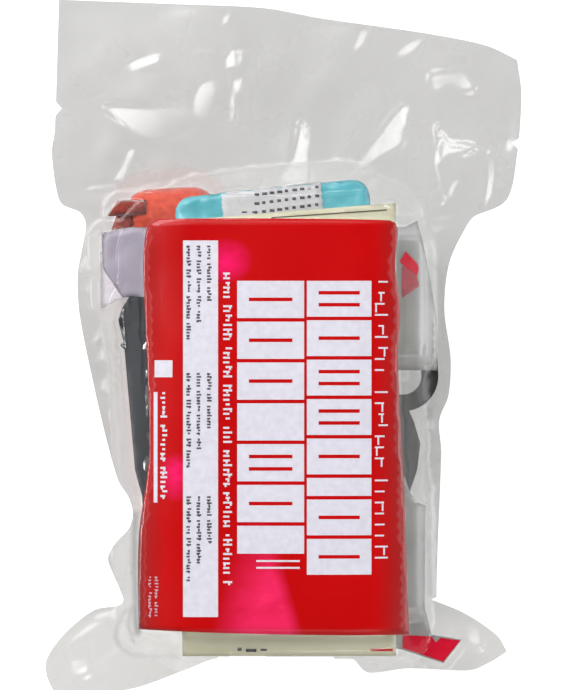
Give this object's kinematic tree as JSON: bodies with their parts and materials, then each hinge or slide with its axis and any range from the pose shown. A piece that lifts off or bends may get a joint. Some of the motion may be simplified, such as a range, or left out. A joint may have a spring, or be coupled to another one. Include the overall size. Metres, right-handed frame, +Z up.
{
  "type": "bleeding control kit",
  "caption": "Sealed clear pouch of first aid items: folded windlass tourniquet, dressing, gauze, gloves, shears, marker, blanket and card, with a tear-off end.",
  "frame": {"origin": "on the supporting plane, under the middle of the pouch's outline", "axes": "+Y along the pouch towards the tear-off end, +X across it to the right as the label card is seen, +Z up, out of the label card"},
  "size_m": [0.228, 0.334, 0.064],
  "materials": {
    "clear_film": "clear, glossy flexible film",
    "red_card": "glossy printed card",
    "sleeve_film": "satin pale film",
    "white_paper": "uncoated paper",
    "tan_pouch": "satin heat-sealed foil laminate",
    "gauze": "open cotton weave",
    "elastic_bandage": "crepe elastic weave",
    "white_plastic": "moulded, satin",
    "gauze_pouch_film": "translucent glossy film",
    "slate_film": "satin grey film",
    "foil": "thin crinkled metallised sheet",
    "teal_glove": "smooth thin nitrile",
    "steel": "satin ground",
    "dark_plastic": "moulded, fine grain",
    "marker_plastic": "moulded, glossy",
    "nib_felt": "pressed felt",
    "orange_webbing": "brushed loop pile webbing",
    "black_plastic": "moulded, fine grain",
    "black_webbing": "plain woven band",
    "white_webbing": "woven tape"
  },
  "bodies": {
    "sealed_pack": {"pouch_front_web": "clear_film", "pouch_back_web": "clear_film", "label_card": "red_card", "instruction_sleeve": "sleeve_film", "instruction_card": "white_paper", "dressing_pouch_front": "tan_pouch", "dressing_pouch_back": "tan_pouch", "dressing_pad": "gauze", "elastic_wrap": "elastic_bandage", "closure_bar": "white_plastic", "upper_gauze_pouch_front": "gauze_pouch_film", "upper_gauze_pouch_back": "gauze_pouch_film", "upper_gauze": "gauze", "lower_gauze_pouch_front": "gauze_pouch_film", "lower_gauze_pouch_back": "gauze_pouch_film", "lower_gauze": "gauze", "blanket_pouch_front": "slate_film", "blanket_pouch_back": "slate_film", "folded_blanket": "foil", "lower_glove_pair": "teal_glove", "upper_glove_pair": "teal_glove", "glove_band": "white_paper", "shears_fixed_blade": "steel", "shears_fixed_handle": "dark_plastic", "shears_rivet": "steel", "marker_barrel": "marker_plastic", "marker_nib": "nib_felt", "tourniquet_strap": "orange_webbing", "tourniquet_plate": "black_plastic", "windlass_clip": "black_plastic", "inner_band": "black_webbing", "slip_buckle": "black_plastic", "time_strap": "white_webbing"},
    "tear_strip": {"tear_strip_front": "clear_film", "tear_strip_back": "clear_film"},
    "shears_moving_half": {"shears_moving_blade": "steel", "shears_moving_handle": "dark_plastic"},
    "marker_cap": {"marker_cap": "marker_plastic"},
    "windlass": {"windlass_rod": "black_plastic"}
  },
  "joints": [
    {"name": "tear_off", "type": "slide", "parent": "sealed_pack", "child": "tear_strip", "axis": [0, 1, 0], "range_m": [0, 0.1]},
    {"name": "shears_pivot", "type": "hinge", "parent": "sealed_pack", "child": "shears_moving_half", "pos_m": [0.0425, -0.062, 0.007], "axis": [0, 0, 1], "range_deg": [0, 8]},
    {"name": "cap_pull", "type": "slide", "parent": "sealed_pack", "child": "marker_cap", "axis": [0, 1, 0], "range_m": [0, 0.042]},
    {"name": "windlass_turn", "type": "hinge", "parent": "sealed_pack", "child": "windlass", "pos_m": [-0.05063, -0.00899, 0.0244], "axis": [0, 0, 1], "range_deg": [-1, 1]}
  ]
}
